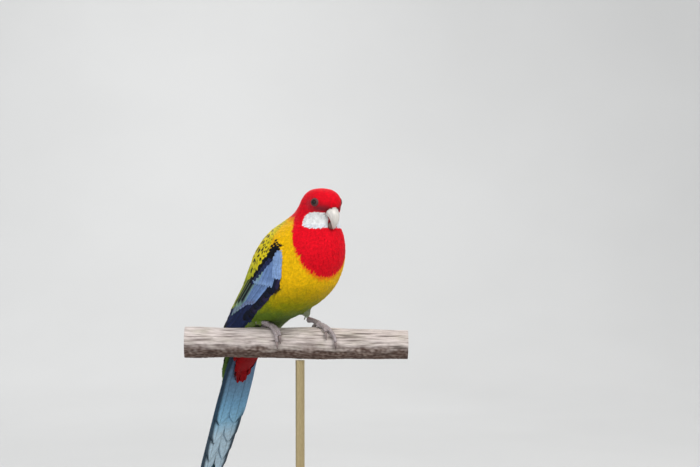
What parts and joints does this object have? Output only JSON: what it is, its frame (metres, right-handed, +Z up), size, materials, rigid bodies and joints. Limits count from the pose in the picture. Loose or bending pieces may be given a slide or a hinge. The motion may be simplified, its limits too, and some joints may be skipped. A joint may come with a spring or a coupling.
{
  "type": "parrot model on a perch",
  "caption": "Life-size still model of an eastern rosella, a small long-tailed parrot, gripping a cut branch on a plain display stand.",
  "frame": {"origin": "centre of the display base's flat underside, below the middle of the two feet", "axes": "+Z up along the stand's rod, the bird faces -Y with its left side at +X, and the perch crosses it diagonally"},
  "size_m": [0.1563, 0.1919, 0.3146],
  "materials": {
    "plumage_red": "matte layered feathers, scarlet",
    "plumage_gold": "matte layered feathers, golden yellow to green, mantle scalloped in black",
    "plumage_blue": "smooth flight feathers and coverts, lavender blue to navy",
    "plumage_tail": "long flat feathers, pale blue below with whitish tips",
    "plumage_green": "short soft feathers, yellow green",
    "horn": "pale grey horn, satin",
    "eye": "dark glossy eyeball",
    "foot_skin": "grey scaly skin",
    "claw": "dark grey horn",
    "bark": "weathered bark, bleached on top",
    "stand_metal": "brushed",
    "stand_wood": "dark stained, satin"
  },
  "bodies": {
    "root": {"head": "plumage_red", "neck": "plumage_red", "trunk": "plumage_gold", "undertail_coverts": "plumage_red", "uppertail_coverts": "plumage_green", "bill_upper": "horn", "bill_lower": "horn", "perch": "bark", "stand_rod": "stand_metal", "stand_base": "stand_wood", "wing_left": "plumage_blue", "thigh_left": "plumage_green", "foot_left": "foot_skin", "eye_left": "eye", "claw_left_1": "claw", "claw_left_2": "claw", "claw_left_3": "claw", "claw_left_4": "claw", "tail_left_1": "plumage_tail", "tail_left_2": "plumage_tail", "tail_left_3": "plumage_tail", "tail_left_4": "plumage_tail", "tail_left_5": "plumage_tail", "tail_left_6": "plumage_tail", "wing_right": "plumage_blue", "thigh_right": "plumage_green", "foot_right": "foot_skin", "eye_right": "eye", "claw_right_1": "claw", "claw_right_2": "claw", "claw_right_3": "claw", "claw_right_4": "claw", "tail_right_1": "plumage_tail", "tail_right_2": "plumage_tail", "tail_right_3": "plumage_tail", "tail_right_4": "plumage_tail", "tail_right_5": "plumage_tail", "tail_right_6": "plumage_tail"}
  },
  "joints": []
}
